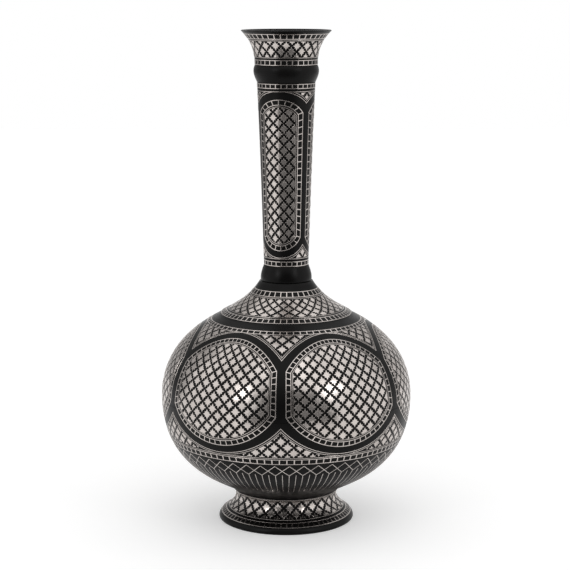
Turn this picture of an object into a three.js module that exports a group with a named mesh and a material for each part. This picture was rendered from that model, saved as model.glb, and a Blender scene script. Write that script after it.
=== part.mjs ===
// A long-necked bottle of blackened zinc alloy, inlaid with silver.
//
// Seven castings are soldered over one another: a hollow foot, the lower and upper
// halves of the globe, a collar, the neck, a second collar and the flared mouth.
// Silver bands are let into grooves round the castings, and silver borders frame
// six panels on the globe and three on the neck.
// Millimetres, +Z up, origin at the centre of the foot's underside, front towards -Y.

import * as THREE from 'three';

// Heights of the castings, each measured from the one below.
const footHeight = 19.5;
const lowerBowlHeight = 58.5;
const shoulderHeight = 51;
const sweepHeight = 20;
const lowerCollarHeight = 9.8;
const neckLength = 110.1;
const upperCollarHeight = 10.2;
const mouthHeight = 20.9;

// Outer radii.
const footBaseRadius = 39.8;
const footEdgeRadius = 38.6;
const footEdgeHeight = 5.4;
const waistRadius = 30.9;
const waistHeight = 15.3;
const footTopRadius = 33;
const globeRadius = 76.4;
const shoulderRadius = 40.1;
const bowlTopRadius = 16.1;
const lowerCollarRadius = 15.3;
const neckLowRadius = 13.5;
const neckHighRadius = 17.5;
const mouthLowRadius = 18.9;
const lipRadius = 27.15;

// Shapes of the outline's stretches: each is one curve whose handles stand out and up
// from its low end, and out and down from its high end.
const footEdgeShape = { lowOut: 1.3, lowUp: 0.5, highOut: 3.3, highDown: 2.2 };
const footSlopeShape = { lowOut: -2.2, lowUp: 1.2, highOut: 0, highDown: 4.3 };
const footFlareShape = { lowOut: 0, lowUp: 1.7, highOut: -1, highDown: 0.8 };
const footInsideShape = { lowOut: -3.8, lowUp: 7, highOut: 0, highDown: 5 };
const lowerGlobeShape = { lowOut: 2.3, lowUp: 6.5, highOut: 0, highDown: 47.4 };
const upperGlobeShape = { lowOut: 0, lowUp: 36.7, highOut: 1.46, highDown: 2.39 };
const sweepShape = { lowOut: -0.99, lowUp: 1.62, highOut: 8.1, highDown: 13.7 };
const lowerCollarShape = { lowOut: 0.5, lowUp: 1, highOut: 2.3, highDown: 5.4 };
const neckShape = { lowOut: 1.2, lowUp: 36.7, highOut: -1.8, highDown: 36.7 };
const upperCollarShape = { lowOut: 1, lowUp: 2.5, highOut: 1.9, highDown: 4.1 };
const mouthShape = { lowOut: -0.3, lowUp: 8.9, highOut: -5.6, highDown: 5 };
const mouthInsideShape = { lowOut: 0, lowUp: 4.9, highOut: -5.2, highDown: 4.6 };

// Walls, bores and joints.
const globeWall = 3;
const bowlFloor = 3;
const footWall = 3;
const footSpigotRadius = 27.2;
const footSpigotWall = 3.2;
const footSpigotDepth = 6;
const footSpigotPlay = 0.3;
const lapHeight = 3;
const neckTailRadius = 12.4;
const neckTailDepth = 8;
const neckTailWall = 2.2;
const mouthTailRadius = 15.8;
const mouthTailHeight = 15.2;
const mouthTailWall = 2.2;
const lipThickness = 1.4;
const lipRounding = 0.5;
const solderGap = 0.1;

// Silver inlay.
const silverThickness = 0.4;
const inlayGap = 0.06;
const borderLift = 0.2;
const borderThickness = 0.2;

// Bands round the castings: height of the lower edge over the level that each follows,
// with a minus sign where it lies under it, and rise.
const footLadder = { start: -1.3, rise: 2.35 };
const footLine = { start: -1.4, rise: 0.9 };
const bellyLadder = { start: -25.9, rise: 3.4 };
const rimLadder = { start: -4.9, rise: 1.6 };
const shoulderLadder = { start: 0.2, rise: 2.1 };
const throatLadder = { start: -7.3, rise: 3 };
const neckLowLadder = { start: 0.2, rise: 3.1 };
const neckHighLadder = { start: -3.2, rise: 2.9 };
const mouthLowLadder = { start: 0.3, rise: 3.2 };
const mouthHighLadder = { start: -5.2, rise: 3.1 };

// Panels: sizes along the surface, with the straight sides between two round arcs, the
// middle of those sides, and the spacing left between neighbours.
const globePanels = {
  count: 6, turn: 27.6, spacing: 5.7, centre: 16.8, straight: 27.2, riseUp: 21.3, riseDown: 19.5,
};
const neckPanels = {
  count: 3, turn: -15, spacing: 4.2, centre: 55.1, straight: 75, riseUp: 8, riseDown: 8,
};
const borderWidth = 3.4;

// Facets round each casting, and steps along a panel's arcs and sides.
const globeSides = 48;
const trimSides = 32;
const arcSteps = 12;
const globeSideSteps = 6;
const neckSideSteps = 4;
const leastStep = 0.5;

// Levels of the joints.
const equator = footHeight + lowerBowlHeight;
const shoulder = equator + shoulderHeight;
const bowlTop = shoulder + sweepHeight;
const neckFoot = bowlTop + lowerCollarHeight;
const neckTop = neckFoot + neckLength;
const mouthFoot = neckTop + upperCollarHeight;
const lipLevel = mouthFoot + mouthHeight;

// Finishes.
const blackenedZinc = () => new THREE.MeshStandardMaterial({
  color: 0x262423, roughness: 0.55, metalness: 0.6,
});
const silver = () => new THREE.MeshStandardMaterial({
  color: 0xd2cbc4, roughness: 0.3, metalness: 1,
});

const bottle = new THREE.Group();

function point(radius, height) {
  return new THREE.Vector2(radius, height);
}

// One stretch of outline, from its low end to its high end.
function stretch(low, high, { lowOut, lowUp, highOut, highDown }) {
  return new THREE.CubicBezierCurve(
    low,
    point(low.x + lowOut, low.y + lowUp),
    point(high.x + highOut, high.y - highDown),
    high,
  );
}

// Outer outline of each casting, from its foot to its top.
const footEdgeTop = point(footEdgeRadius, footEdgeHeight);
const waist = point(waistRadius, waistHeight);
const footTop = point(footTopRadius, footHeight);
const belly = point(globeRadius, equator);
const shoulderPoint = point(shoulderRadius, shoulder);
const footEdge = stretch(point(footBaseRadius, 0), footEdgeTop, footEdgeShape);
const footSlope = stretch(footEdgeTop, waist, footSlopeShape);
const footFlare = stretch(waist, footTop, footFlareShape);
const lowerGlobe = stretch(footTop, belly, lowerGlobeShape);
const upperGlobe = stretch(belly, shoulderPoint, upperGlobeShape);
const sweep = stretch(shoulderPoint, point(bowlTopRadius, bowlTop), sweepShape);
const lowerCollarSide = stretch(
  point(lowerCollarRadius, bowlTop + solderGap),
  point(neckLowRadius, neckFoot),
  lowerCollarShape,
);
const neckSide = stretch(
  point(neckLowRadius, neckFoot + solderGap),
  point(neckHighRadius, neckTop),
  neckShape,
);
const upperCollarSide = stretch(
  point(neckHighRadius, neckTop + solderGap),
  point(mouthLowRadius, mouthFoot),
  upperCollarShape,
);
const mouthSide = stretch(
  point(mouthLowRadius, mouthFoot + solderGap),
  point(lipRadius, lipLevel - lipRounding),
  mouthShape,
);

// Joins curves end to end, so that a place on them is found by its length along them.
function joined(...curves) {
  const path = new THREE.CurvePath();
  curves.forEach((part) => path.add(part));
  return path;
}

const footOutline = joined(footEdge, footSlope, footFlare);
const upperOutline = joined(upperGlobe, sweep);
const globeOutline = joined(lowerGlobe, upperGlobe, sweep);

// Radius and height where a rising outline reaches a level.
function atLevel(outline, level) {
  let low = 0;
  let high = 1;
  for (let i = 0; i < 40; i += 1) {
    const middle = (low + high) / 2;
    if (outline.getPoint(middle).y < level) low = middle;
    else high = middle;
  }
  return outline.getPoint(low);
}

// Where a silver band lies: its edges on the outline and the way into the metal.
function seat(outline, level, band) {
  const low = atLevel(outline, level + band.start);
  const high = atLevel(outline, level + band.start + band.rise);
  const along = high.clone().sub(low).normalize();
  return { low, high, along, inward: point(-along.y, along.x) };
}

function grooveProfile({ low, high, along, inward }) {
  const from = low.clone().addScaledVector(along, -inlayGap);
  const to = high.clone().addScaledVector(along, inlayGap);
  const depth = silverThickness + inlayGap;
  return [
    from,
    from.clone().addScaledVector(inward, depth),
    to.clone().addScaledVector(inward, depth),
    to,
  ];
}

function bandProfile({ low, high, inward }) {
  return [
    low,
    high,
    high.clone().addScaledVector(inward, silverThickness),
    low.clone().addScaledVector(inward, silverThickness),
  ];
}

// Cuts the grooves for silver bands into a rising outline's points.
function withGrooves(outline, seats) {
  let points = outline;
  for (const place of seats) {
    const groove = grooveProfile(place);
    const below = points.filter((p, i) => i === 0 || p.y < groove[0].y - leastStep);
    const above = points.filter((p, i) => i === points.length - 1
      || p.y > groove[3].y + leastStep);
    points = [...below, ...groove, ...above];
  }
  return points;
}

// Points of an outline moved into the metal by a wall's thickness.
function insideOf(outline, wall, steps) {
  const inner = [];
  for (let i = 0; i <= steps; i += 1) {
    const tangent = outline.getTangent(i / steps);
    inner.push(outline.getPoint(i / steps).add(point(-tangent.y, tangent.x).multiplyScalar(wall)));
  }
  return inner;
}

// Where a run of points crosses a level.
function crossing(points, level) {
  const next = points.findIndex((p, i) => i > 0
    && (p.y - level) * (points[i - 1].y - level) <= 0);
  const before = points[next - 1];
  const share = (level - before.y) / (points[next].y - before.y);
  return before.clone().lerp(points[next], share);
}

// Adds a named piece, given in the bottle's own frame.
function addPiece(name, geometry, material) {
  const piece = new THREE.Mesh(geometry, material);
  piece.name = name;
  bottle.add(piece);
}

// Turns a profile of radii and heights about the bottle's axis.
function turned(name, profile, sides, material) {
  const geometry = new THREE.LatheGeometry(profile, sides);
  geometry.rotateX(Math.PI / 2);
  addPiece(name, geometry, material);
}

function closed(profile) {
  return [...profile, profile[0].clone()];
}

// The foot: a standing edge, a slope up to the waist, and a bore for the bowl's spigot.
const footSeats = [
  seat(footOutline, footEdgeHeight, footLadder),
  seat(footOutline, footHeight, footLine),
];
const footBoreRadius = footSpigotRadius + footSpigotPlay;
const footInside = stretch(
  point(footBaseRadius - footWall, 0),
  point(footBoreRadius, footHeight - footSpigotDepth),
  footInsideShape,
);
turned('foot', closed([
  ...withGrooves([
    ...footEdge.getPoints(4),
    ...footSlope.getPoints(5).slice(1),
    ...footFlare.getPoints(3).slice(1),
  ], footSeats),
  point(footBoreRadius, footHeight),
  ...footInside.getPoints(4).reverse(),
]), trimSides, blackenedZinc());

// The lower bowl: its spigot drops into the foot, and a half lap at its rim takes
// the upper bowl.
const lowerSeats = [seat(lowerGlobe, equator, bellyLadder)];
const lapRadius = globeRadius - globeWall / 2;
const bowlFoot = footHeight + solderGap;
const floorLevel = bowlFoot + bowlFloor;
const lowerInside = insideOf(lowerGlobe, globeWall, 8);
turned('lower_bowl', [
  point(0, bowlFoot),
  point(footSpigotRadius - footSpigotWall, bowlFoot),
  point(footSpigotRadius - footSpigotWall, footHeight - footSpigotDepth + solderGap),
  point(footSpigotRadius, footHeight - footSpigotDepth + solderGap),
  point(footSpigotRadius, bowlFoot),
  ...withGrooves([
    atLevel(lowerGlobe, bowlFoot),
    ...lowerGlobe.getPoints(10).slice(1),
  ], lowerSeats),
  point(lapRadius, equator),
  point(lapRadius, equator + lapHeight),
  point(globeRadius - globeWall, equator + lapHeight),
  ...lowerInside.filter((p) => p.y > floorLevel + leastStep).reverse(),
  crossing(lowerInside, floorLevel),
  point(0, floorLevel),
], globeSides, blackenedZinc());

// The upper bowl: globe, shoulder and the sweep up to the socket for the neck.
const upperSeats = [
  seat(upperOutline, shoulder, rimLadder),
  seat(upperOutline, shoulder, shoulderLadder),
  seat(upperOutline, bowlTop, throatLadder),
];
const socketRadius = neckTailRadius + solderGap;
const socketFoot = bowlTop - neckTailDepth;
const lapTop = equator + lapHeight + solderGap;
const upperInside = [
  ...insideOf(upperGlobe, globeWall, 6),
  ...insideOf(sweep, globeWall, 4).slice(1),
];
turned('upper_bowl', closed([
  ...withGrooves([
    atLevel(upperOutline, equator + solderGap),
    ...upperGlobe.getPoints(9).slice(1),
    ...sweep.getPoints(5).slice(1),
  ], upperSeats),
  point(socketRadius, bowlTop),
  point(socketRadius, socketFoot),
  crossing(upperInside, socketFoot),
  ...upperInside.filter((p) => p.y > lapTop + leastStep && p.y < socketFoot - leastStep).reverse(),
  crossing(upperInside, lapTop),
  point(lapRadius + solderGap, lapTop),
  point(lapRadius + solderGap, equator + solderGap),
]), globeSides, blackenedZinc());

// The collars: beads that cover the joints at the two ends of the neck.
turned('lower_collar', closed([
  ...lowerCollarSide.getPoints(5),
  point(socketRadius, neckFoot),
  point(socketRadius, bowlTop + solderGap),
]), trimSides, blackenedZinc());
const mouthSocketRadius = mouthTailRadius + solderGap;
turned('upper_collar', closed([
  ...upperCollarSide.getPoints(5),
  point(mouthSocketRadius, mouthFoot),
  point(mouthSocketRadius, neckTop + solderGap),
]), trimSides, blackenedZinc());

// The neck: a tail below drops through the collar into the bowl, and a tail above
// stands up through the second collar into the mouth.
const neckSeats = [
  seat(neckSide, neckFoot, neckLowLadder),
  seat(neckSide, neckTop, neckHighLadder),
];
const tailTop = neckTop + mouthTailHeight;
const lowBore = neckTailRadius - neckTailWall;
const highBore = mouthTailRadius - mouthTailWall;
turned('neck_tube', closed([
  point(neckTailRadius, socketFoot),
  point(neckTailRadius, neckFoot + solderGap),
  ...withGrooves(neckSide.getPoints(6), neckSeats),
  point(mouthTailRadius, neckTop),
  point(mouthTailRadius, tailTop),
  point(highBore, tailTop),
  point(lowBore, socketFoot),
]), trimSides, blackenedZinc());

// The mouth: a bell whose socket drops over the neck's upper tail.
const mouthSeats = [
  seat(mouthSide, mouthFoot, mouthLowLadder),
  seat(mouthSide, lipLevel, mouthHighLadder),
];
const mouthInside = stretch(
  point(highBore, tailTop + solderGap),
  point(lipRadius - lipThickness, lipLevel),
  mouthInsideShape,
);
turned('mouth_bell', closed([
  ...withGrooves(mouthSide.getPoints(7), mouthSeats),
  point(lipRadius - lipRounding, lipLevel),
  ...mouthInside.getPoints(4).reverse(),
  point(mouthSocketRadius, tailTop + solderGap),
  point(mouthSocketRadius, mouthFoot + solderGap),
]), trimSides, blackenedZinc());

// The silver bands in their grooves.
function addBand(name, place, sides) {
  turned(name, closed(bandProfile(place)), sides, silver());
}

addBand('foot_ladder_band', footSeats[0], trimSides);
addBand('foot_line_band', footSeats[1], trimSides);
addBand('belly_ladder_band', lowerSeats[0], globeSides);
addBand('rim_ladder_band', upperSeats[0], globeSides);
addBand('shoulder_ladder_band', upperSeats[1], globeSides);
addBand('throat_ladder_band', upperSeats[2], globeSides);
addBand('neck_ladder_band_low', neckSeats[0], trimSides);
addBand('neck_ladder_band_high', neckSeats[1], trimSides);
addBand('mouth_ladder_band_low', mouthSeats[0], trimSides);
addBand('mouth_ladder_band_high', mouthSeats[1], trimSides);

// One arc of a panel's outline, moved in from its edge: its radius, the place of its
// middle, the angle of its ends and how far up they lie.
function panelArc(halfWidth, straight, rise, inset) {
  const fullRadius = (halfWidth ** 2 + rise ** 2) / (2 * rise);
  const radius = fullRadius - inset;
  const middle = straight / 2 + rise - fullRadius;
  const corner = Math.acos((halfWidth - inset) / radius);
  return { radius, middle, corner, end: middle + radius * Math.sin(corner) };
}

// A panel's outline, laid flat: across the panel, and up along the casting's outline.
// Every inset has the same number of points, so that two of them pair up.
function panelOutline(panel, refRadius, inset, sideSteps) {
  const { centre, straight } = panel;
  const halfWidth = (Math.PI * refRadius) / panel.count - panel.spacing / 2;
  const upper = panelArc(halfWidth, straight, panel.riseUp, inset);
  const lower = panelArc(halfWidth, straight, panel.riseDown, inset);
  const points = [];
  for (const [up, arc, next] of [[1, upper, lower], [-1, lower, upper]]) {
    for (let i = 0; i < arcSteps; i += 1) {
      const angle = arc.corner + (Math.PI - 2 * arc.corner) * (i / arcSteps);
      const along = arc.middle + arc.radius * Math.sin(angle);
      points.push([up * arc.radius * Math.cos(angle), centre + up * along]);
    }
    for (let i = 0; i < sideSteps; i += 1) {
      const along = arc.end - (arc.end + next.end) * (i / sideSteps);
      points.push([up * (inset - halfWidth), centre + up * along]);
    }
  }
  return points;
}

// A point above a casting's surface: turned about the axis, up along its outline, lifted.
function aboveSurface(outline, turn, along, lift) {
  const length = outline.getLength();
  const here = outline.getPoint(along / length);
  const ahead = outline.getPoint((along + leastStep) / length);
  const behind = outline.getPoint((along - leastStep) / length);
  const tangent = ahead.sub(behind).normalize();
  const radius = here.x + tangent.y * lift;
  const height = here.y - tangent.x * lift;
  return [radius * Math.sin(turn), -radius * Math.cos(turn), height];
}

// A silver border that follows a panel's outline over the curved surface.
function border(outline, start, panel, index, sideSteps, refRadius) {
  const middle = THREE.MathUtils.degToRad(panel.turn + (360 / panel.count) * index);
  const outer = panelOutline(panel, refRadius, 0, sideSteps);
  const inner = panelOutline(panel, refRadius, borderWidth, sideSteps);
  const place = ([across, along], lift) => (
    aboveSurface(outline, middle + across / refRadius, start + along, lift));
  const positions = [];
  outer.forEach((edge, i) => {
    positions.push(...place(edge, borderLift), ...place(edge, borderLift + borderThickness));
    positions.push(...place(inner[i], borderLift + borderThickness));
    positions.push(...place(inner[i], borderLift));
  });
  const faces = [];
  for (let i = 0; i < outer.length; i += 1) {
    const next = (i + 1) % outer.length;
    for (let side = 0; side < 4; side += 1) {
      const [a, b] = [4 * i + side, 4 * i + ((side + 1) % 4)];
      const [c, d] = [4 * next + ((side + 1) % 4), 4 * next + side];
      faces.push(a, c, b, a, d, c);
    }
  }
  const geometry = new THREE.BufferGeometry();
  geometry.setAttribute('position', new THREE.Float32BufferAttribute(positions, 3));
  geometry.setIndex(faces);
  return geometry;
}

for (let i = 0; i < globePanels.count; i += 1) {
  const start = lowerGlobe.getLength();
  const strip = border(globeOutline, start, globePanels, i, globeSideSteps, globeRadius);
  addPiece(`globe_panel_border_${i + 1}`, strip, silver());
}
const neckRadius = (neckLowRadius + neckHighRadius) / 2;
for (let i = 0; i < neckPanels.count; i += 1) {
  const strip = border(joined(neckSide), 0, neckPanels, i, neckSideSteps, neckRadius);
  addPiece(`neck_panel_border_${i + 1}`, strip, silver());
}

export default bottle;
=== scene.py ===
import math
import random
from bisect import bisect_right

import bpy
from mathutils import Matrix, Vector
from mathutils.geometry import interpolate_bezier


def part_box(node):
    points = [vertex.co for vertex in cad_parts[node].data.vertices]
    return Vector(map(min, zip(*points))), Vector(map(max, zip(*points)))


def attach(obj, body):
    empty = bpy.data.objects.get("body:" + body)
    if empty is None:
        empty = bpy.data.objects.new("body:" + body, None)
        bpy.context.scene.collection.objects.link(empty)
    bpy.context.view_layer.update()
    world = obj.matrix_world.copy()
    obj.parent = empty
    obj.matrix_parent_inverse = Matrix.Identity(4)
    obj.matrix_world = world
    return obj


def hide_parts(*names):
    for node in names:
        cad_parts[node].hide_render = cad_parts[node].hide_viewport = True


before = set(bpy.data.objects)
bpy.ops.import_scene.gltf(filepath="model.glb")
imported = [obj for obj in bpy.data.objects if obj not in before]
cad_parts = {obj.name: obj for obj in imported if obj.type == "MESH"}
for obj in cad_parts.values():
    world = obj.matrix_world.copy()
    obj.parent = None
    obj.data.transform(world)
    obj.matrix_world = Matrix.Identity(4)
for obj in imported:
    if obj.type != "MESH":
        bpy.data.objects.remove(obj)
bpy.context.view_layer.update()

MM = 0.001
SOLDER = 0.1


def reach(node):
    """A turned node's outer radius."""
    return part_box(node)[1].x / MM


def bottom(node):
    """The level of a node's lowest point."""
    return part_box(node)[0].z / MM


def top(node):
    """The level of a node's highest point."""
    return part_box(node)[1].z / MM


# Levels of the joints, from the solids.
FOOT_TOP = top("foot")
EQUATOR = bottom("upper_bowl") - SOLDER
BOWL_TOP = top("upper_bowl")
NECK_FOOT = top("lower_collar")
NECK_TOP = bottom("upper_collar") - SOLDER
MOUTH_FOOT = top("upper_collar")
LIP = top("mouth_bell")
SHOULDER_RISE = 51
SHOULDER = EQUATOR + SHOULDER_RISE
LAP_TOP = top("lower_bowl")
SOCKET_FOOT = bottom("neck_tube")
TAIL_TOP = top("neck_tube")

# Outer radii, and the levels that go with them on the foot.
FOOT_BASE_R = reach("foot")
FOOT_EDGE_R = 38.6
FOOT_EDGE = 5.4
WAIST_R = 30.9
WAIST = 15.3
FOOT_TOP_R = 33
GLOBE_R = reach("lower_bowl")
SHOULDER_R = 40.1
BOWL_TOP_R = 16.1
COLLAR_R = 15.3
NECK_LOW_R = 13.5
NECK_HIGH_R = 17.5
MOUTH_LOW_R = 18.9
LIP_R = reach("mouth_bell")

# Walls and joints.
GLOBE_WALL = 3
BOWL_FLOOR = 3
FOOT_WALL = 3
SPIGOT_R = 27.2
SPIGOT_WALL = 3.2
SPIGOT_DEPTH = 6
SPIGOT_PLAY = 0.3
TAIL_R = 12.4
TAIL_WALL = 2.2
MOUTH_TAIL_R = 15.8
LIP_THICKNESS = 1.4
LIP_ROUND = 0.5

# Silver: how far it stands over the metal, how deep it is let in, and its worn edge.
PROUD = 0.1
SUNK = 0.3
WORN_EDGE = 0.06


class Outline:
    """A run of curves from a casting's foot to its top, followed by length from a level."""

    def __init__(self, *curves, zero=None):
        self.points = [curves[0][0]]
        for curve in curves:
            self.points += curve[1:]
        self.lengths = [0.0]
        for here, after in zip(self.points, self.points[1:]):
            self.lengths.append(self.lengths[-1] + (after - here).length)
        if zero is not None:
            shift = self.length_at(zero)
            self.lengths = [length - shift for length in self.lengths]

    def length_at(self, level):
        """Length along the outline at a height."""
        for i, (here, after) in enumerate(zip(self.points, self.points[1:])):
            if here.y <= level <= after.y:
                share = (level - here.y) / (after.y - here.y)
                return self.lengths[i] + share * (self.lengths[i + 1] - self.lengths[i])
        raise ValueError(f"the outline doesn't reach {level} mm")

    def at(self, along):
        """Point and direction of the outline at a length."""
        i = min(max(bisect_right(self.lengths, along) - 1, 0), len(self.points) - 2)
        here, after = self.points[i], self.points[i + 1]
        step = after - here
        share = (along - self.lengths[i]) / step.length
        return here + step * share, step.normalized()

    def radius_at(self, level):
        return self.at(self.length_at(level))[0].x

    def place(self, turn, along, lift):
        """A point over the casting's surface, in metres."""
        here, way = self.at(along)
        radius = here.x + way.y * lift
        height = here.y - way.x * lift
        return Vector((radius * math.sin(turn), -radius * math.cos(turn), height)) * MM


def point(radius, height):
    return Vector((radius, height))


def stretch(low, high, low_handle, high_handle, steps):
    """One curve of outline: its handles stand out and up, and out and down."""
    from_low = low + Vector(low_handle)
    to_high = high + Vector((high_handle[0], -high_handle[1]))
    return interpolate_bezier(low, from_low, to_high, high, steps + 1)


# Outer outlines of the castings: each stretch is given by its ends and handles.
foot_edge_top = point(FOOT_EDGE_R, FOOT_EDGE)
waist = point(WAIST_R, WAIST)
foot_top = point(FOOT_TOP_R, FOOT_TOP)
belly = point(GLOBE_R, EQUATOR)
shoulder = point(SHOULDER_R, SHOULDER)


def foot_side(steps):
    return [
        stretch(point(FOOT_BASE_R, 0), foot_edge_top, (1.3, 0.5), (3.3, 2.2), steps),
        stretch(foot_edge_top, waist, (-2.2, 1.2), (0, 4.3), steps),
        stretch(waist, foot_top, (0, 1.7), (-1, 0.8), steps),
    ]


def lower_globe_side(steps):
    return stretch(foot_top, belly, (2.3, 6.5), (0, 47.4), steps)


def upper_globe_side(steps):
    return stretch(belly, shoulder, (0, 36.7), (1.46, 2.39), steps)


def sweep_side(steps):
    return stretch(shoulder, point(BOWL_TOP_R, BOWL_TOP), (-0.99, 1.62), (8.1, 13.7), steps)


def lower_collar_side(steps):
    foot = point(COLLAR_R, BOWL_TOP + SOLDER)
    return stretch(foot, point(NECK_LOW_R, NECK_FOOT), (0.5, 1), (2.3, 5.4), steps)


def neck_side(steps):
    foot = point(NECK_LOW_R, NECK_FOOT + SOLDER)
    return stretch(foot, point(NECK_HIGH_R, NECK_TOP), (1.2, 36.7), (-1.8, 36.7), steps)


def upper_collar_side(steps):
    foot = point(NECK_HIGH_R, NECK_TOP + SOLDER)
    return stretch(foot, point(MOUTH_LOW_R, MOUTH_FOOT), (1, 2.5), (1.9, 4.1), steps)


def mouth_side(steps):
    foot = point(MOUTH_LOW_R, MOUTH_FOOT + SOLDER)
    return stretch(foot, point(LIP_R, LIP - LIP_ROUND), (-0.3, 8.9), (-5.6, 5), steps)


# The outlines that the silver follows, in fine steps.
FINE = 200
FOOT = Outline(*foot_side(FINE))
GLOBE = Outline(
    lower_globe_side(FINE), upper_globe_side(FINE), sweep_side(FINE), zero=EQUATOR
)
NECK = Outline(neck_side(FINE))
MOUTH = Outline(mouth_side(FINE))


# Materials: colours, ranges of roughness, and depths of the unevenness.
DEEP_PATINA = (0.0022, 0.0020, 0.0019)
RUBBED_PATINA = (0.0050, 0.0046, 0.0044)
PATINA_ROUGHNESS = (0.27, 0.37)
PATINA_SPECULAR = 0.11
CAST_WAVES = 0.12 * MM
CAST_GRAIN = 0.01 * MM
POLISHED_SILVER = (0.69, 0.635, 0.60)
TARNISHED_SILVER = (0.50, 0.455, 0.425)
SILVER_ROUGHNESS = (0.16, 0.27)
HAMMER_MARKS = 0.12 * MM
SILVER_GRAIN = 0.006 * MM


def new_material(name):
    material = bpy.data.materials.new(name)
    material.use_nodes = True
    nodes = material.node_tree.nodes
    return material, nodes, material.node_tree.links, nodes["Principled BSDF"]


def noise(nodes, links, scale, detail, roughness=0.5):
    """Noise over the object's own coordinates, in features per metre."""
    coordinates = nodes.new("ShaderNodeTexCoord")
    texture = nodes.new("ShaderNodeTexNoise")
    texture.inputs["Scale"].default_value = scale
    texture.inputs["Detail"].default_value = detail
    texture.inputs["Roughness"].default_value = roughness
    links.new(coordinates.outputs["Object"], texture.inputs["Vector"])
    return texture.outputs["Fac"]


def spread(nodes, links, source, low, high, start=0.3, end=0.7):
    """Maps a source to a range of plain numbers."""
    node = nodes.new("ShaderNodeMapRange")
    for name, value in (("From Min", start), ("From Max", end), ("To Min", low), ("To Max", high)):
        node.inputs[name].default_value = value
    links.new(source, node.inputs["Value"])
    return node.outputs["Result"]


def blend_colours(nodes, links, factor, first, second):
    node = nodes.new("ShaderNodeMix")
    node.data_type = "RGBA"
    node.inputs["A"].default_value = (*first, 1)
    node.inputs["B"].default_value = (*second, 1)
    links.new(factor, node.inputs["Factor"])
    return node.outputs["Result"]


def bumps(nodes, links, shader, *layers):
    """Stacks bumps: each layer is a height source and its depth in metres."""
    normal = None
    for source, depth in layers:
        node = nodes.new("ShaderNodeBump")
        node.inputs["Distance"].default_value = depth
        links.new(source, node.inputs["Height"])
        if normal:
            links.new(normal, node.inputs["Normal"])
        normal = node.outputs["Normal"]
    links.new(normal, shader.inputs["Normal"])


def blackened_zinc():
    """Matte black patina over cast metal, rubbed a little paler in random patches."""
    material, nodes, links, shader = new_material("blackened_zinc")
    cloud = noise(nodes, links, scale=55, detail=5, roughness=0.6)
    grain = noise(nodes, links, scale=1400, detail=3)
    tone = spread(nodes, links, cloud, 0, 1)
    colour = blend_colours(nodes, links, tone, DEEP_PATINA, RUBBED_PATINA)
    links.new(colour, shader.inputs["Base Color"])
    links.new(spread(nodes, links, cloud, *PATINA_ROUGHNESS), shader.inputs["Roughness"])
    shader.inputs["Specular IOR Level"].default_value = PATINA_SPECULAR
    bumps(nodes, links, shader, (cloud, CAST_WAVES), (grain, CAST_GRAIN))
    return material


def silver_inlay():
    """Silver sheet and wire, hammered in, polished by hand and slightly tarnished."""
    material, nodes, links, shader = new_material("silver_inlay")
    hammering = noise(nodes, links, scale=160, detail=2)
    tarnish = noise(nodes, links, scale=70, detail=6, roughness=0.65)
    grain = noise(nodes, links, scale=2500, detail=2)
    tone = spread(nodes, links, tarnish, 0, 1, start=0.35, end=0.75)
    colour = blend_colours(nodes, links, tone, POLISHED_SILVER, TARNISHED_SILVER)
    links.new(colour, shader.inputs["Base Color"])
    links.new(spread(nodes, links, grain, *SILVER_ROUGHNESS), shader.inputs["Roughness"])
    shader.inputs["Metallic"].default_value = 1
    bumps(nodes, links, shader, (hammering, HAMMER_MARKS), (grain, SILVER_GRAIN))
    return material


ZINC = blackened_zinc()
SILVER = silver_inlay()


# Making and finishing pieces. Points closer together than SAME_PLACE metres are merged.
SAME_PLACE = 1e-6
SMOOTH_UNDER = math.radians(30)


def start_piece():
    bpy.ops.object.select_all(action="DESELECT")


def pick(piece):
    """Makes a piece the only selected one and the active one."""
    start_piece()
    piece.select_set(True)
    bpy.context.view_layer.objects.active = piece


def edit(piece):
    pick(piece)
    bpy.ops.object.mode_set(mode="EDIT")
    bpy.ops.mesh.select_all(action="SELECT")


def leave():
    bpy.ops.object.mode_set(mode="OBJECT")


def clean(piece):
    edit(piece)
    bpy.ops.mesh.remove_doubles(threshold=SAME_PLACE)
    bpy.ops.mesh.normals_make_consistent(inside=False)
    leave()


def finish_piece(piece, material, replaced):
    pick(piece)
    bpy.ops.object.shade_smooth_by_angle(angle=SMOOTH_UNDER)
    piece.data.materials.clear()
    piece.data.materials.append(material)
    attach(piece, "root")
    if replaced:
        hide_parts(*replaced)
    return piece


def zinc_piece(piece, node):
    return finish_piece(piece, ZINC, (node,))


def silver_piece(piece, *nodes):
    return finish_piece(piece, SILVER, nodes)


# Castings.

CASTING_SIDES = 256
EDGE_ROUND = 0.15
SHARP_EDGE = math.radians(40)

# Steps of the castings' outlines.
FOOT_STEPS = 12
FOOT_BORE_STEPS = 14
LOWER_GLOBE_STEPS = 48
UPPER_GLOBE_STEPS = 44
SWEEP_STEPS = 20
COLLAR_STEPS = 20
NECK_STEPS = 30
MOUTH_STEPS = 28
MOUTH_BORE_STEPS = 16


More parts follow.
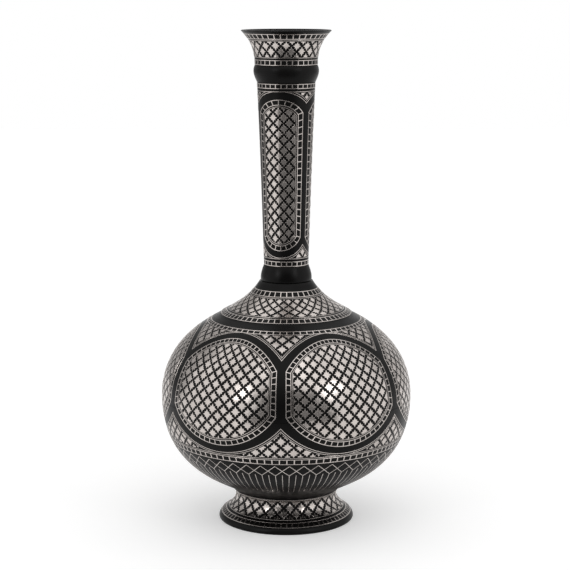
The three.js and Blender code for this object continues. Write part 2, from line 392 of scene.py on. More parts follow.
def turned_casting(name, node, outline, closed=True):
    """Extrudes an outline from one point, spins it about the axis and eases its edges."""
    start_piece()
    first = Vector((outline[0].x, 0, outline[0].y)) * MM
    bpy.ops.mesh.primitive_plane_add(size=MM, location=first)
    piece = bpy.context.object
    piece.name = name
    bpy.ops.object.transform_apply(location=True, rotation=False, scale=False)
    edit(piece)
    bpy.ops.mesh.merge(type="CENTER")
    loop = outline + outline[:1] if closed else outline
    for here, after in zip(loop, loop[1:]):
        step = Vector((after.x - here.x, 0, after.y - here.y)) * MM
        bpy.ops.mesh.extrude_vertices_move(TRANSFORM_OT_translate={"value": step})
    bpy.ops.mesh.select_all(action="SELECT")
    bpy.ops.mesh.remove_doubles(threshold=SAME_PLACE)
    bpy.ops.mesh.select_all(action="SELECT")
    bpy.ops.mesh.spin(steps=CASTING_SIDES, angle=2 * math.pi, center=(0, 0, 0), axis=(0, 0, 1))
    leave()
    clean(piece)
    ease = piece.modifiers.new("eased_edges", "BEVEL")
    ease.width = EDGE_ROUND * MM
    ease.limit_method = "ANGLE"
    ease.angle_limit = SHARP_EDGE
    bpy.ops.object.modifier_apply(modifier="eased_edges")
    return zinc_piece(piece, node)


def chain(*curves):
    points = list(curves[0])
    for curve in curves[1:]:
        points += curve[1:]
    return points


def inside_of(curve, wall):
    """A curve moved into the metal by a wall's thickness."""
    inner = []
    for i, here in enumerate(curve):
        before = curve[max(i - 1, 0)]
        after = curve[min(i + 1, len(curve) - 1)]
        way = (after - before).normalized()
        inner.append(here + Vector((-way.y, way.x)) * wall)
    return inner


def above(points, level):
    return [p for p in points if p.y > level]


def below(points, level):
    return [p for p in points if p.y < level]


def crossing(points, level):
    """Where a run of points crosses a level."""
    for here, after in zip(points, points[1:]):
        if (here.y - level) * (after.y - level) <= 0:
            return here.lerp(after, (level - here.y) / (after.y - here.y))
    raise ValueError(f"the run of points doesn't cross {level} mm")


def foot_outline():
    bore = SPIGOT_R + SPIGOT_PLAY
    inside = stretch(
        point(FOOT_BASE_R - FOOT_WALL, 0),
        point(bore, FOOT_TOP - SPIGOT_DEPTH),
        (-3.8, 7), (0, 5), FOOT_BORE_STEPS,
    )
    return chain(*foot_side(FOOT_STEPS)) + [point(bore, FOOT_TOP)] + inside[::-1]


def lower_bowl_outline():
    side = lower_globe_side(LOWER_GLOBE_STEPS)
    inside = inside_of(lower_globe_side(LOWER_GLOBE_STEPS // 2), GLOBE_WALL)
    foot = FOOT_TOP + SOLDER
    floor = foot + BOWL_FLOOR
    spigot_foot = FOOT_TOP - SPIGOT_DEPTH + SOLDER
    lap = GLOBE_R - GLOBE_WALL / 2
    return [
        point(0, foot),
        point(SPIGOT_R - SPIGOT_WALL, foot),
        point(SPIGOT_R - SPIGOT_WALL, spigot_foot),
        point(SPIGOT_R, spigot_foot),
        point(SPIGOT_R, foot),
        crossing(side, foot),
        *above(side, foot + SOLDER),
        point(lap, EQUATOR),
        point(lap, LAP_TOP),
        point(GLOBE_R - GLOBE_WALL, LAP_TOP),
        *above(inside, floor + SOLDER)[::-1],
        crossing(inside, floor),
        point(0, floor),
    ]


def upper_bowl_outline():
    side = chain(upper_globe_side(UPPER_GLOBE_STEPS), sweep_side(SWEEP_STEPS))
    coarse = chain(upper_globe_side(UPPER_GLOBE_STEPS // 2), sweep_side(SWEEP_STEPS // 2))
    inside = inside_of(coarse, GLOBE_WALL)
    socket = TAIL_R + SOLDER
    lap = GLOBE_R - GLOBE_WALL / 2 + SOLDER
    lap_top = LAP_TOP + SOLDER
    return [
        belly,
        *above(side, EQUATOR + SOLDER),
        point(socket, BOWL_TOP),
        point(socket, SOCKET_FOOT),
        crossing(inside, SOCKET_FOOT),
        *above(below(inside, SOCKET_FOOT - SOLDER), lap_top + SOLDER)[::-1],
        crossing(inside, lap_top),
        point(lap, lap_top),
        point(lap, EQUATOR),
    ]


def lower_collar_outline():
    socket = TAIL_R + SOLDER
    return [
        *lower_collar_side(COLLAR_STEPS),
        point(socket, NECK_FOOT),
        point(socket, BOWL_TOP + SOLDER),
    ]


def neck_outline():
    return [
        point(TAIL_R, SOCKET_FOOT),
        point(TAIL_R, NECK_FOOT + SOLDER),
        *neck_side(NECK_STEPS),
        point(MOUTH_TAIL_R, NECK_TOP),
        point(MOUTH_TAIL_R, TAIL_TOP),
        point(MOUTH_TAIL_R - TAIL_WALL, TAIL_TOP),
        point(TAIL_R - TAIL_WALL, SOCKET_FOOT),
    ]


def upper_collar_outline():
    socket = MOUTH_TAIL_R + SOLDER
    return [
        *upper_collar_side(COLLAR_STEPS),
        point(socket, MOUTH_FOOT),
        point(socket, NECK_TOP + SOLDER),
    ]


def mouth_outline():
    socket = MOUTH_TAIL_R + SOLDER
    inside = stretch(
        point(MOUTH_TAIL_R - TAIL_WALL, TAIL_TOP + SOLDER),
        point(LIP_R - LIP_THICKNESS, LIP),
        (0, 4.9), (-5.2, 4.6), MOUTH_BORE_STEPS,
    )
    return [
        *mouth_side(MOUTH_STEPS),
        point(LIP_R - LIP_ROUND, LIP),
        *inside[::-1],
        point(socket, TAIL_TOP + SOLDER),
        point(socket, MOUTH_FOOT + SOLDER),
    ]


def make_castings():
    turned_casting("foot_casting", "foot", foot_outline())
    turned_casting("lower_bowl_casting", "lower_bowl", lower_bowl_outline(), closed=False)
    turned_casting("upper_bowl_casting", "upper_bowl", upper_bowl_outline())
    turned_casting("lower_collar_casting", "lower_collar", lower_collar_outline())
    turned_casting("neck_casting", "neck_tube", neck_outline())
    turned_casting("upper_collar_casting", "upper_collar", upper_collar_outline())
    turned_casting("mouth_casting", "mouth_bell", mouth_outline())


# Silver laid on a casting.

def sheet(name, rows, is_hole=None):
    """A flat sheet with the given rows of (across, up) points; holes are cut out of it."""
    columns = len(rows[0]) - 1
    start_piece()
    bpy.ops.mesh.primitive_grid_add(x_subdivisions=columns, y_subdivisions=len(rows) - 1, size=1)
    piece = bpy.context.object
    piece.name = name
    flat = [place for row in rows for place in row]
    for vertex, (across, up) in zip(piece.data.vertices, flat):
        vertex.co = (across, up, 0)
    if is_hole:
        edit(piece)
        bpy.ops.mesh.select_mode(type="FACE")
        bpy.ops.mesh.select_all(action="DESELECT")
        leave()
        for face in piece.data.polygons:
            face.select = is_hole(face.index % columns, face.index // columns)
        bpy.ops.object.mode_set(mode="EDIT")
        bpy.ops.mesh.delete(type="FACE")
        bpy.ops.mesh.select_mode(type="VERT")
        leave()
    return piece


def lay_on(piece, outline, turn, along, radius, lift=0.0):
    """Lays a flat piece on a casting: across is measured at the given radius."""
    for vertex in piece.data.vertices:
        across, up, height = vertex.co
        vertex.co = outline.place(turn + across / radius, along + up, height + lift)


def give_thickness(piece):
    """Thickens silver laid at its bed, outwards, and eases its upper edge."""
    edit(piece)
    bpy.ops.mesh.remove_doubles(threshold=SAME_PLACE)
    bpy.ops.mesh.select_all(action="SELECT")
    rise = (SUNK + PROUD - WORN_EDGE) * MM
    bpy.ops.mesh.extrude_region_shrink_fatten(TRANSFORM_OT_shrink_fatten={"value": rise})
    bpy.ops.mesh.inset(thickness=WORN_EDGE * MM, depth=WORN_EDGE * MM)
    leave()
    clean(piece)


def let_in(piece, outline, turn, along, radius):
    """Lays a flat piece in its bed in a casting and thickens it."""
    lay_on(piece, outline, turn, along, radius, lift=-SUNK)
    give_thickness(piece)
    return piece


def join(name, pieces):
    start_piece()
    for piece in pieces:
        piece.select_set(True)
    bpy.context.view_layer.objects.active = pieces[0]
    bpy.ops.object.join()
    pieces[0].name = name
    return pieces[0]


RING_STEPS = 128


def ring_points(circumference, height):
    return [(circumference * i / RING_STEPS, height) for i in range(RING_STEPS + 1)]


def wire_ring(name, outline, along, width):
    """A plain silver wire round a casting, its lower edge at a length along the outline."""
    radius = outline.at(along)[0].x
    around = 2 * math.pi * radius
    piece = sheet(name, [ring_points(around, 0), ring_points(around, width)])
    return let_in(piece, outline, math.pi, along, radius)


def between_bars(column, row):
    """Whether a face of a ladder's sheet is a hole: each bar and hole take three columns."""
    return row == 1 and column % 3 != 0


def ladder_ring(name, outline, low, high, rail, rung, count):
    """Two wires round a casting with short bars between them."""
    along = outline.length_at(low)
    width = outline.length_at(high) - along
    radius = outline.at(along + width / 2)[0].x
    pitch = 2 * math.pi * radius / count
    places = []
    for i in range(count):
        places += [i * pitch, i * pitch + rung, i * pitch + (rung + pitch) / 2]
    places.append(count * pitch)
    rows = [[(x, y) for x in places] for y in (0, rail, width - rail, width)]
    piece = sheet(name, rows, between_bars)
    return let_in(piece, outline, math.pi, along, radius)


# Ladder bands: piece, node, outline, lower and upper level, and count of bars.
LADDER_RAIL = 0.44
RUNG_SHARE = 0.16
BANDS = [
    ("foot_ladder", "foot_ladder_band", FOOT, 4.1, 6.45, 72),
    ("belly_ladder", "belly_ladder_band", GLOBE, 52.1, 55.5, 104),
    ("rim_ladder", "rim_ladder_band", GLOBE, 124.1, 125.7, 74),
    ("shoulder_ladder", "shoulder_ladder_band", GLOBE, 129.2, 131.3, 66),
    ("throat_ladder", "throat_ladder_band", GLOBE, 141.7, 144.7, 36),
    ("neck_low_ladder", "neck_ladder_band_low", NECK, 159.0, 162.1, 26),
    ("neck_high_ladder", "neck_ladder_band_high", NECK, 265.7, 268.6, 32),
    ("mouth_low_ladder", "mouth_ladder_band_low", MOUTH, 279.4, 282.6, 34),
    ("mouth_high_ladder", "mouth_ladder_band_high", MOUTH, 294.8, 297.9, 40),
]


def make_ladders():
    for name, node, outline, low, high, count in BANDS:
        middle = outline.radius_at((low + high) / 2)
        rung = 2 * math.pi * middle / count * RUNG_SHARE
        piece = ladder_ring(name, outline, low, high, LADDER_RAIL, rung, count)
        silver_piece(piece, node)


# Thin wires that close a field of florets beside a ladder, with the level of the lower edge.
FINE_WIRE = 0.32
FIELD_WIRES = [
    ("foot_field_wire_low", FOOT, 7.5),
    ("belly_field_wire", GLOBE, 56.1),
    ("shoulder_field_wire_low", GLOBE, 131.85),
    ("shoulder_field_wire_high", GLOBE, 141.0),
    ("neck_field_wire_low", NECK, 163.6),
    ("neck_field_wire_high", NECK, 263.9),
    ("mouth_field_wire_low", MOUTH, 283.7),
    ("mouth_field_wire_high", MOUTH, 293.9),
]
FOOT_LINE_LEVELS = (18.1, 19.0)


def make_field_wires():
    for name, outline, level in FIELD_WIRES:
        silver_piece(wire_ring(name, outline, outline.length_at(level), FINE_WIRE))
    low, high = (FOOT.length_at(level) for level in FOOT_LINE_LEVELS)
    pair = [
        wire_ring("foot_double_line", FOOT, low, FINE_WIRE),
        wire_ring("foot_double_line_high", FOOT, high - FINE_WIRE, FINE_WIRE),
    ]
    silver_piece(join("foot_double_line", pair), "foot_line_band")


# Panels.

class Panel:
    """Two straight sides between an upper and a lower arc, repeated round a casting.

    Sizes are those of the flat sheet, measured from the panel's middle, which lies at a
    length along the outline. Spacing is the gap between neighbours, and rises are the
    heights of the upper and the lower arc.
    """

    def __init__(self, outline, radius, count, turn, spacing, middle, straight, rises):
        self.outline = outline
        self.radius = radius
        self.count = count
        self.turn = math.radians(turn)
        self.half_width = math.pi * radius / count - spacing / 2
        self.middle = middle
        self.straight = straight
        self.rises = rises

    def turn_of(self, index):
        return self.turn + 2 * math.pi * index / self.count

    def half_pitch(self):
        return math.pi * self.radius / self.count

    def arc(self, upper, inset=0.0):
        """Radius, middle and end angle of the upper or lower arc, moved in."""
        rise = self.rises[0] if upper else self.rises[1]
        full = (self.half_width ** 2 + rise ** 2) / (2 * rise)
        radius = full - inset
        corner = math.acos((self.half_width - inset) / radius)
        return radius, self.straight / 2 + rise - full, corner

    def lengths(self):
        """Lengths of the outline's quarters."""
        quarters = []
        for upper in (True, False):
            radius, _, corner = self.arc(upper)
            quarters += [(math.pi - 2 * corner) * radius, self.straight]
        return quarters

    def edge(self, inset, places):
        """Points of the outline moved in, at places given as shares of its quarters.

        Each place is (quarter, share): quarters 0 and 2 are the arcs, 1 and 3 the sides.
        """
        arcs = [self.arc(True, inset), self.arc(False, inset)]
        ends = [middle + radius * math.sin(corner) for radius, middle, corner in arcs]
        points = []
        for quarter, share in places:
            lower = quarter // 2
            up = -1 if lower else 1
            radius, middle, corner = arcs[lower]
            if quarter % 2 == 0:
                angle = corner + (math.pi - 2 * corner) * share
                points.append((up * radius * math.cos(angle),
                               up * (middle + radius * math.sin(angle))))
            else:
                height = ends[lower] - (ends[lower] + ends[1 - lower]) * share
                points.append((-up * (self.half_width - inset), up * height))
        return points


GLOBE_PANEL = Panel(
    GLOBE, GLOBE_R, 6, turn=27.6, spacing=5.7, middle=16.8, straight=27.2, rises=(21.3, 19.5)
)
NECK_R = (NECK_LOW_R + NECK_HIGH_R) / 2
NECK_PANEL = Panel(
    NECK, NECK_R, 3, turn=-15, spacing=4.2, middle=55.1, straight=75, rises=(8, 8)
)

# The border's parts, and how far the thin wire and the florets lie inside the outline.
BORDER = 3.4
BORDER_RAIL = 0.44
BORDER_RUNG = 0.58
BORDER_PITCH = 4.1
PANEL_WIRE_IN = 4.1
FIELD_IN = 4.75


def border_places(panel):
    """Places of the border's bars and holes: whole bars fill each arc and each side."""
    places = []
    for quarter, length in enumerate(panel.lengths()):
        bars = round(length / BORDER_PITCH)
        rung = BORDER_RUNG / length
        for i in range(bars):
            start = i / bars
            places += [(quarter, start), (quarter, start + rung),
                       (quarter, start + (rung + 1 / bars) / 2)]
    return places + [(3, 1)]


def make_panel_ring(name, panel, index, insets, is_hole=None):
    """Silver round one panel, with its edges at the given distances inside the outline."""
    places = border_places(panel)
    piece = sheet(name, [panel.edge(inset, places) for inset in insets], is_hole)
    return let_in(piece, panel.outline, panel.turn_of(index), panel.middle, panel.radius)


def make_panel_frames():
    border_insets = (0, BORDER_RAIL, BORDER - BORDER_RAIL, BORDER)
    wire_insets = (PANEL_WIRE_IN, PANEL_WIRE_IN + FINE_WIRE)
    for kind, panel in (("globe", GLOBE_PANEL), ("neck", NECK_PANEL)):
        for index in range(panel.count):
            number = index + 1
            name = f"{kind}_border_{number}"
            border = make_panel_ring(name, panel, index, border_insets, between_bars)
            silver_piece(border, f"{kind}_panel_border_{number}")
            silver_piece(make_panel_ring(f"{kind}_panel_wire_{number}", panel, index, wire_insets))


# Florets. A quarter of a floret's edge runs from a petal's tip through a bite, a bump and a
# bite to the next tip: reaches are shares of the cell's half, and turns are in degrees.
FLORET_SIDES = 16
SIDE_TIP = 0.78
UPPER_TIP = 0.84
BITE_REACH = 0.43
BUMP_REACH = 0.605
QUARTER_TURNS = (0, 26, 45, 64)
CROWN = 0.03


def flat_blank(name, sides, radius):
    start_piece()
    bpy.ops.mesh.primitive_circle_add(vertices=sides, radius=radius, fill_type="NGON")
    piece = bpy.context.object
    piece.name = name
    return piece


def raise_blank(piece):
    """Gives a flat blank its thickness, a worn edge and a slight crown."""
    edit(piece)
    bpy.ops.transform.translate(value=(0, 0, -SUNK))
    rise = SUNK + PROUD - WORN_EDGE
    bpy.ops.mesh.extrude_region_move(TRANSFORM_OT_translate={"value": (0, 0, rise)})
    bpy.ops.mesh.inset(thickness=WORN_EDGE, depth=WORN_EDGE)
    bpy.ops.mesh.poke(offset=CROWN)
    bpy.ops.mesh.select_all(action="SELECT")
    bpy.ops.mesh.normals_make_consistent(inside=False)
    leave()


def make_floret(name, width, height):
    """A floret whose four petals point to its cell's corners, with a bump between them."""
    floret = flat_blank(name, FLORET_SIDES, 1)
    between = (BITE_REACH, BUMP_REACH, BITE_REACH)
    reaches = (SIDE_TIP, *between, UPPER_TIP, *between)
    for vertex in floret.data.vertices:
        step = round(math.atan2(vertex.co.y, vertex.co.x) / math.tau * FLORET_SIDES)
        angle = math.radians(90 * (step // 4) + QUARTER_TURNS[step % 4])
        reach_here = reaches[step % len(reaches)]
        vertex.co.x = reach_here * math.cos(angle) * width / 2
        vertex.co.y = reach_here * math.sin(angle) * height / 2
    raise_blank(floret)
    return floret


# How much a floret may be turned, shifted, sized and tilted, either way.
HAND_TURN = math.radians(4)
HAND_SHIFT = 0.12
HAND_SIZE = 0.05
HAND_TILT = math.radians(1.6)


def lay_by_hand(piece, unit, seed):
    """Turns, tilts, shifts and sizes each floret a little, as work done by hand is."""
    chance = random.Random(seed)
    places = piece.data.vertices
    for first in range(0, len(places), unit):
        middle = places[first].co.lerp(places[first + FLORET_SIDES // 2].co, 0.5)
        turn = Matrix.Rotation(chance.uniform(-HAND_TURN, HAND_TURN), 3, "Z")
        for axis in "XY":
            turn = Matrix.Rotation(chance.uniform(-HAND_TILT, HAND_TILT), 3, axis) @ turn
        size = 1 + chance.uniform(-HAND_SIZE, HAND_SIZE)
        shift = Vector((chance.uniform(-1, 1), chance.uniform(-1, 1), 0)) * HAND_SHIFT
        for vertex in places[first:first + unit]:
            away = turn @ (vertex.co - middle)
            away.x *= size
            away.y *= size
            vertex.co = middle + shift + away


def array(piece, count, offset):
    copies = piece.modifiers.new("copies", "ARRAY")
    copies.use_relative_offset = False
    copies.use_constant_offset = True
    copies.constant_offset_displace = offset
    copies.count = count
    bpy.ops.object.modifier_apply(modifier="copies")


def floret_field(name, width, height, columns, rows, first):
    """Staggered rows of florets: first is the middle of the lowest left one."""
    pair = []
    for seed, shift in enumerate(((0, 0), (width / 2, height / 2))):
        piece = make_floret(name, width, height)
        unit = len(piece.data.vertices)
        start = Vector((first[0] + shift[0], first[1] + shift[1], 0))
        for vertex in piece.data.vertices:
            vertex.co += start
        array(piece, columns, (width, 0, 0))
        array(piece, rows, (0, height, 0))
        lay_by_hand(piece, unit, seed)
        pair.append(piece)
    return join(name, pair)


CUTTER_DEPTH = 4


def trim_to(piece, edge):
    """Keeps what lies inside a flat outline."""
    start_piece()
    bpy.ops.mesh.primitive_circle_add(vertices=len(edge), radius=1, fill_type="NGON")
    cutter = bpy.context.object
    for vertex, (across, up) in zip(cutter.data.vertices, edge):
        vertex.co = (across, up, -CUTTER_DEPTH / 2)
    edit(cutter)
    bpy.ops.mesh.extrude_region_move(TRANSFORM_OT_translate={"value": (0, 0, CUTTER_DEPTH)})
    bpy.ops.mesh.select_all(action="SELECT")
    bpy.ops.mesh.normals_make_consistent(inside=False)
    leave()
    pick(piece)
    cut = piece.modifiers.new("trim", "BOOLEAN")
    cut.operation = "INTERSECT"
    cut.solver = "EXACT"
    cut.object = cutter
    bpy.ops.object.modifier_apply(modifier="trim")
    bpy.data.objects.remove(cutter)


def copy_of(piece, name):
    copy = piece.copy()
    copy.data = piece.data.copy()
    copy.name = name
    bpy.context.scene.collection.objects.link(copy)
    return copy


# Cells: width and height. A shift is where one floret lies, from the panel's middle.
GLOBE_CELL = (7.73, 7.3)
GLOBE_SHIFT = (-2.6, 3.2)
NECK_CELL = (6.22, 6.6)
NECK_SHIFT = (-0.5, -1.5)
UPPER_SPANDREL_CELL = (10.6, 7.3)
ARC_STEPS = 24
SIDE_STEPS = 6


def field_places():
    places = []
    for quarter in range(4):
        steps = ARC_STEPS if quarter % 2 == 0 else SIDE_STEPS
        places += [(quarter, i / steps) for i in range(steps)]
    return places


def middle_field(half_width, half_height, cell, shift):
    """A flat field that reaches both ways past the given half width and half height."""
    width, height = cell
    columns = 2 * math.ceil(half_width / width) + 1
    rows = 2 * math.ceil(half_height / height) + 1
    first = (shift[0] - (columns // 2) * width, shift[1] - (rows // 2) * height)
    return floret_field("field", width, height, columns, rows, first)


def lay_copies(field, name, panel, seam=0.0):
    """Lays a copy of a flat field on each panel, or on each seam where seam is a half."""
    for index in range(panel.count):
        piece = copy_of(field, f"{name}_{index + 1}")
        lay_on(piece, panel.outline, panel.turn_of(index + seam), panel.middle, panel.radius)
        silver_piece(piece)
    bpy.data.objects.remove(field)


def make_panel_florets(kind, panel, cell, shift):
    half_height = panel.straight / 2 + max(panel.rises)
    field = middle_field(panel.half_width, half_height, cell, shift)
    trim_to(field, panel.edge(FIELD_IN, field_places()))
    lay_copies(field, f"{kind}_panel_florets", panel)


def make_band_florets(name, outline, low, high, row, height, count, turn):
    """A ring of florets trimmed at two levels, one of them at the given row and turn."""
    along = outline.length_at(low)
    rise = outline.length_at(high) - along
    radius = outline.at(along + rise / 2)[0].x
    width = 2 * math.pi * radius / count
    start = (outline.length_at(row) - along) % height - height
    field = floret_field(name, width, height, count, math.ceil(rise / height) + 1, (0, start))
    edge = width * (count + 1)
    trim_to(field, [(-width, 0), (edge, 0), (edge, rise), (-width, rise)])
    lay_on(field, outline, math.radians(turn), along, radius)
    silver_piece(field)


# Floret bands: lower and upper level, a row's level, a cell's height, florets round the
# casting, and the turn of one floret in degrees.
BAND_FLORETS = [
    ("foot_florets", FOOT, 7.9, 17.8, 13.8, 7.5, 27, 4),
    ("shoulder_florets", GLOBE, 132.2, 140.6, 135.95, 6.0, 28, 3),
    ("mouth_florets", MOUTH, 284.3, 293.6, 287.6, 7.2, 20, 9),
]


def make_florets():
    make_panel_florets("globe", GLOBE_PANEL, GLOBE_CELL, GLOBE_SHIFT)
    make_panel_florets("neck", NECK_PANEL, NECK_CELL, NECK_SHIFT)
    for band in BAND_FLORETS:
        make_band_florets(*band)


# Spandrels: the three-cornered fields between neighbouring panels.

class Spandrel:
    """Between two round arcs and a level base, on the flat sheet about the seam.

    The arcs belong to the black frames: each passes the tip on the seam and its crown
    over the middle of the panel. Heights are measured from the panels' middle, and up is
    1 over the panels and -1 under them.
    """

    def __init__(self, panel, up, tip, crown, base):
        self.panel = panel
        self.up = up
        self.base = base
        rise = crown - tip
        self.half = panel.half_pitch()
        self.radius = (self.half ** 2 + rise ** 2) / (2 * rise)
        self.middle = crown - self.radius

    def arcs(self, inset, base):
        """Both arcs moved in, left to right; each ends at the base or at its crown."""
        radius = self.radius + inset
        corner = math.asin(min((base - self.middle) / radius, 1))
        tip = math.acos(self.half / radius)
        left = []
        for i in range(ARC_STEPS + 1):
            angle = corner + (tip - corner) * i / ARC_STEPS
            left.append((radius * math.cos(angle) - self.half,
                         self.up * (self.middle + radius * math.sin(angle))))
        both = left + [(-x, y) for x, y in left[-2::-1]]
        return both[::self.up]

    def field_edge(self, inset, base, end):
        """The closed outline moved in; its two sharp corners end where it is this narrow."""
        arcs = self.arcs(inset, base - end)
        level = self.up * base
        return arcs + [(arcs[-1][0], level), (arcs[0][0], level)]


# Edges of the two wires, and what keeps the florets off the frames and the base.
SPANDREL_WIRES = ((0, 0.36), (1.15, 1.45))
SPANDREL_FIELD_IN = 1.9
SPANDREL_BASE_IN = 0.4
SPANDREL_END = 1.0

# Where a seam lies, in panels past a panel's middle.
SEAM = 0.5


def make_spandrel_wires(name, spandrel):
    """Two wires along the frames, round the whole casting."""
    panel = spandrel.panel
    wires = []
    for insets in SPANDREL_WIRES:
        flat = sheet("flat_wire", [spandrel.arcs(inset, spandrel.base) for inset in insets])
        for index in range(panel.count):
            wire = copy_of(flat, "laid_wire")
            turn = panel.turn_of(index + SEAM)
            lay_on(wire, panel.outline, turn, panel.middle, panel.radius, lift=-SUNK)
            wires.append(wire)
        bpy.data.objects.remove(flat)
    ring = join(name, wires)
    give_thickness(ring)
    silver_piece(ring)


def make_spandrel_florets(name, spandrel, cell, shift):
    field = middle_field(spandrel.half, spandrel.base, cell, shift)
    base = spandrel.base - SPANDREL_BASE_IN
    trim_to(field, spandrel.field_edge(SPANDREL_FIELD_IN, base, SPANDREL_END))
    lay_copies(field, name, spandrel.panel, seam=SEAM)


# Spandrels: name, panel, up, level of the base, heights of the tip and the crown, the
# florets' cell, and where one floret lies.
SPANDRELS = [
    ("globe_upper", GLOBE_PANEL, 1, 124.0, 20.2, 39.7, UPPER_SPANDREL_CELL, (0, -0.8)),
    ("globe_lower", GLOBE_PANEL, -1, 56.7, 19.8, 37.4, GLOBE_CELL, (0, 1.2)),
    ("neck_upper", NECK_PANEL, 1, 263.8, 43.0, 50.1, NECK_CELL, (0, 0)),
    ("neck_lower", NECK_PANEL, -1, 164.1, 41.5, 49.5, NECK_CELL, (0, 0)),
]


def make_all_spandrels():
    for name, panel, up, level, tip, crown, cell, shift in SPANDRELS:
        base = up * (panel.outline.length_at(level) - panel.middle)
        spandrel = Spandrel(panel, up, tip, crown, base)
        make_spandrel_wires(f"{name}_spandrel_wires", spandrel)
        make_spandrel_florets(f"{name}_spandrel_florets", spandrel, cell, shift)


# The lappet border under the belly: a lattice of crossed wires over two sorts of ribs. Their
# pitch is that of the lappet level.
LAPPETS = 52
LAPPET_WIRE = 0.42
LATTICE_TOP = 50.9
LATTICE_FOOT = 44.2
LATTICE_STEPS = 6
LAPPET_LEVEL = LATTICE_FOOT + 3
LAPPET_TURN = math.radians(1.5)
RIB_FOOT = 30
RIB_STEPS = 16

# Ribs: shift in shares of the pitch, and top.
RIBS = ((0, LATTICE_FOOT), (0.5, 44.6))


def flat_bar(name, start, end, width, steps):
    """A straight flat bar between two points of the flat sheet."""
    start = Vector(start)
    end = Vector(end)
    way = (end - start).normalized()
    side = Vector((-way.y, way.x)) * width / 2
    rows = []
    for edge in (-side, side):
        rows.append([tuple(start.lerp(end, i / steps) + edge) for i in range(steps + 1)])
    return sheet(name, rows)


def make_lappets():
    foot = GLOBE.length_at(RIB_FOOT)
    lattice_foot = GLOBE.length_at(LATTICE_FOOT)
    rise = GLOBE.length_at(LATTICE_TOP) - lattice_foot
    radius = GLOBE.radius_at(LAPPET_LEVEL)
    pitch = 2 * math.pi * radius / LAPPETS
    lattice = []
    for start, end in (((0, 0), (pitch, rise)), ((pitch, 0), (0, rise))):
        bar = flat_bar("lappet_wire", start, end, LAPPET_WIRE, LATTICE_STEPS)
        array(bar, LAPPETS, (pitch, 0, 0))
        lattice.append(let_in(bar, GLOBE, LAPPET_TURN, lattice_foot, radius))
    silver_piece(join("lappet_lattice", lattice))
    ribs = []
    for shift, rib_top in RIBS:
        across = shift * pitch
        length = GLOBE.length_at(rib_top) - foot
        rib = flat_bar("lappet_rib", (across, 0), (across, length), LAPPET_WIRE, RIB_STEPS)
        array(rib, LAPPETS, (pitch, 0, 0))
        ribs.append(let_in(rib, GLOBE, LAPPET_TURN, foot, radius))
    silver_piece(join("lappet_ribs", ribs))


# Floor, lights and camera, in metres and watts.
FLOOR_SIZE = 6
FLOOR_GREY = (0.8, 0.8, 0.8, 1)
FLOOR_ROUGHNESS = 0.9
FLOOR_SEEN_GLOW = 0.32
FLOOR_MIRRORED_GLOW = 0.2
WORLD_LIGHT = 0.85
WORLD_SEEN = 1.0
WHITE = (1, 1, 1, 1)
BLACK = (0, 0, 0, 1)


def make_floor():
    start_piece()
    bpy.ops.mesh.primitive_plane_add(size=FLOOR_SIZE)
    floor = bpy.context.object
    floor.name = "studio_floor"
    material, nodes, links, shader = new_material("pale_floor")
    shader.inputs["Base Color"].default_value = FLOOR_GREY
    shader.inputs["Roughness"].default_value = FLOOR_ROUGHNESS
    path = nodes.new("ShaderNodeLightPath")
    seen = nodes.new("ShaderNodeMath")
    seen.operation = "MULTIPLY"
    seen.inputs[1].default_value = FLOOR_SEEN_GLOW
    links.new(path.outputs["Is Camera Ray"], seen.inputs[0])
    glow = nodes.new("ShaderNodeMath")
    glow.operation = "MULTIPLY_ADD"
    glow.inputs[1].default_value = FLOOR_MIRRORED_GLOW
    links.new(path.outputs["Is Glossy Ray"], glow.inputs[0])
    links.new(seen.outputs[0], glow.inputs[2])
    shader.inputs["Emission Color"].default_value = WHITE
    links.new(glow.outputs[0], shader.inputs["Emission Strength"])
    floor.data.materials.append(material)


def make_world():
    world = bpy.data.worlds.new("studio")
    bpy.context.scene.world = world
    world.use_nodes = True
    nodes = world.node_tree.nodes
    links = world.node_tree.links
    background = nodes["Background"]
    background.inputs["Color"].default_value = WHITE
    path = nodes.new("ShaderNodeLightPath")
    seen = nodes.new("ShaderNodeMath")
    seen.operation = "MAXIMUM"
    links.new(path.outputs["Is Camera Ray"], seen.inputs[0])
    links.new(path.outputs["Is Transmission Ray"], seen.inputs[1])
    also = nodes.new("ShaderNodeMath")
    also.operation = "MAXIMUM"
    links.new(seen.outputs[0], also.inputs[0])
    links.new(path.outputs["Is Glossy Ray"], also.inputs[1])
    strength = nodes.new("ShaderNodeMapRange")
    strength.inputs["To Min"].default_value = WORLD_LIGHT
    strength.inputs["To Max"].default_value = WORLD_SEEN
    links.new(also.outputs[0], strength.inputs["Value"])
    links.new(strength.outputs["Result"], background.inputs["Strength"])


# Softboxes: place, size and power. All of them face the same point on the bottle.
SOFTBOXES = [
    ("left_softbox", (-0.90, -1.00, 0.65), (0.36, 0.36), 1.2),
    ("right_softbox", (0.91, -0.91, 0.71), (0.36, 0.36), 1.2),
    ("top_softbox", (0, -0.75, 1.6), (1.2, 1.0), 1.3),
]
AIM = Vector((0, 0, 0.12))


def make_softbox(name, place, size, power):
    light = bpy.data.lights.new(name, "AREA")
    light.shape = "RECTANGLE"
    light.size, light.size_y = size
    light.energy = power
    lamp = bpy.data.objects.new(name, light)
    lamp.location = place
    way = AIM - Vector(place)
    lamp.rotation_euler = way.to_track_quat("-Z", "Y").to_euler()
    bpy.context.scene.collection.objects.link(lamp)


def reflection_glow_material(name, glow):
    """An even glow in place of the tone of a lit cloth: a painted reflection, since the sheet
    glows though it is no lamp.
    """
    material, *_, shader = new_material(name)
    shader.inputs["Base Color"].default_value = BLACK
    shader.inputs["Specular IOR Level"].default_value = 0
    shader.inputs["Emission Color"].default_value = WHITE
    shader.inputs["Emission Strength"].default_value = glow
    return material


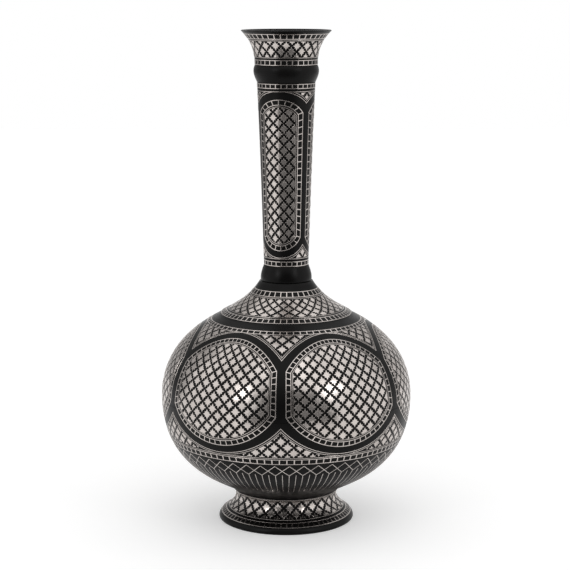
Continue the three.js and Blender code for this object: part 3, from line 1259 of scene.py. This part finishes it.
def make_reflection_sheet(name, corners, material):
    """A glowing sheet in place of a cloth of the studio, which only the reflections in the bottle
    show: a painted reflection.
    """
    start_piece()
    bpy.ops.mesh.primitive_plane_add(size=1)
    cloth = bpy.context.object
    cloth.name = name
    for vertex, corner in zip(cloth.data.vertices, corners):
        vertex.co = corner
    cloth.data.materials.append(material)
    # The sheet glows and is hidden from the camera, from shadows and from diffuse light, so it
    # paints only reflections.
    cloth.visible_camera = False
    cloth.visible_shadow = False
    cloth.visible_diffuse = False


# Glowing sheets that paint reflections in the bottle: how bright they are, and where their corners
# are.
DARK_GLOW = 0.17
DARK_ENDS = (-0.95, 1.40)
DARK_BACK = -1.35
HUNG_TOP_ENDS = (-0.50, 0.48)
HUNG_TOP = 0.88
LAID_FRONT_ENDS = (-0.20, 0.26)
LAID_FRONT = -0.31
OVER_FLOOR = 0.002
GREY_NEAR = (1.5, 0.35)
GREY_FAR = (0.45, 1.6)
GREY_TOP = 1.5
# The left sheet glows less than the right one: a painted grey reflection, darker on the bottle's
# left.
LEFT_GREY_GLOW = 0.45
RIGHT_GREY_GLOW = 0.62


def make_dark_reflections():
    """A painted dark reflection of the studio's dark side: a dimly glowing sheet hung behind the
    camera and one on the floor.
    """
    material = reflection_glow_material("dark_reflection_sheet", DARK_GLOW)
    hung = [(x, DARK_BACK, 0) for x in DARK_ENDS]
    hung += [(x, DARK_BACK, HUNG_TOP) for x in HUNG_TOP_ENDS]
    make_reflection_sheet("hung_dark_reflection_sheet", hung, material)
    laid = [(x, DARK_BACK, OVER_FLOOR) for x in DARK_ENDS]
    laid += [(x, LAID_FRONT, OVER_FLOOR) for x in LAID_FRONT_ENDS]
    make_reflection_sheet("laid_dark_reflection_sheet", laid, material)


def make_grey_reflections():
    """Painted grey reflections: glowing sheets in place of grey walls of the studio, to the left
    and right behind the bottle, the right one brighter.
    """
    for name, glow, side in (
        ("left_grey_reflection_sheet", LEFT_GREY_GLOW, -1),
        ("right_grey_reflection_sheet", RIGHT_GREY_GLOW, 1),
    ):
        ends = [(side * x, y) for x, y in (GREY_NEAR, GREY_FAR)]
        corners = [(x, y, height) for height in (0, GREY_TOP) for x, y in ends]
        make_reflection_sheet(name, corners, reflection_glow_material(name, glow))


# The camera: the focal length and the photograph's side are in pixels of the photograph.
CAMERA_PLACE = (-0.00073, -1.05, 0.325)
CAMERA_TILT = 9.69
FOCAL_LENGTH = 1744.8
PHOTO_SIDE = 570


def make_camera():
    camera = bpy.data.cameras.new("camera")
    camera.lens = FOCAL_LENGTH / PHOTO_SIDE * camera.sensor_width
    seat = bpy.data.objects.new("camera", camera)
    seat.location = CAMERA_PLACE
    seat.rotation_euler = (math.radians(90 - CAMERA_TILT), 0, 0)
    bpy.context.scene.collection.objects.link(seat)
    bpy.context.scene.camera = seat


make_camera()
make_castings()
make_ladders()
make_field_wires()
make_panel_frames()
make_florets()
make_all_spandrels()
make_lappets()
make_floor()
make_world()
for softbox in SOFTBOXES:
    make_softbox(*softbox)
make_grey_reflections()
make_dark_reflections()
bpy.context.scene.view_settings.view_transform = "Standard"
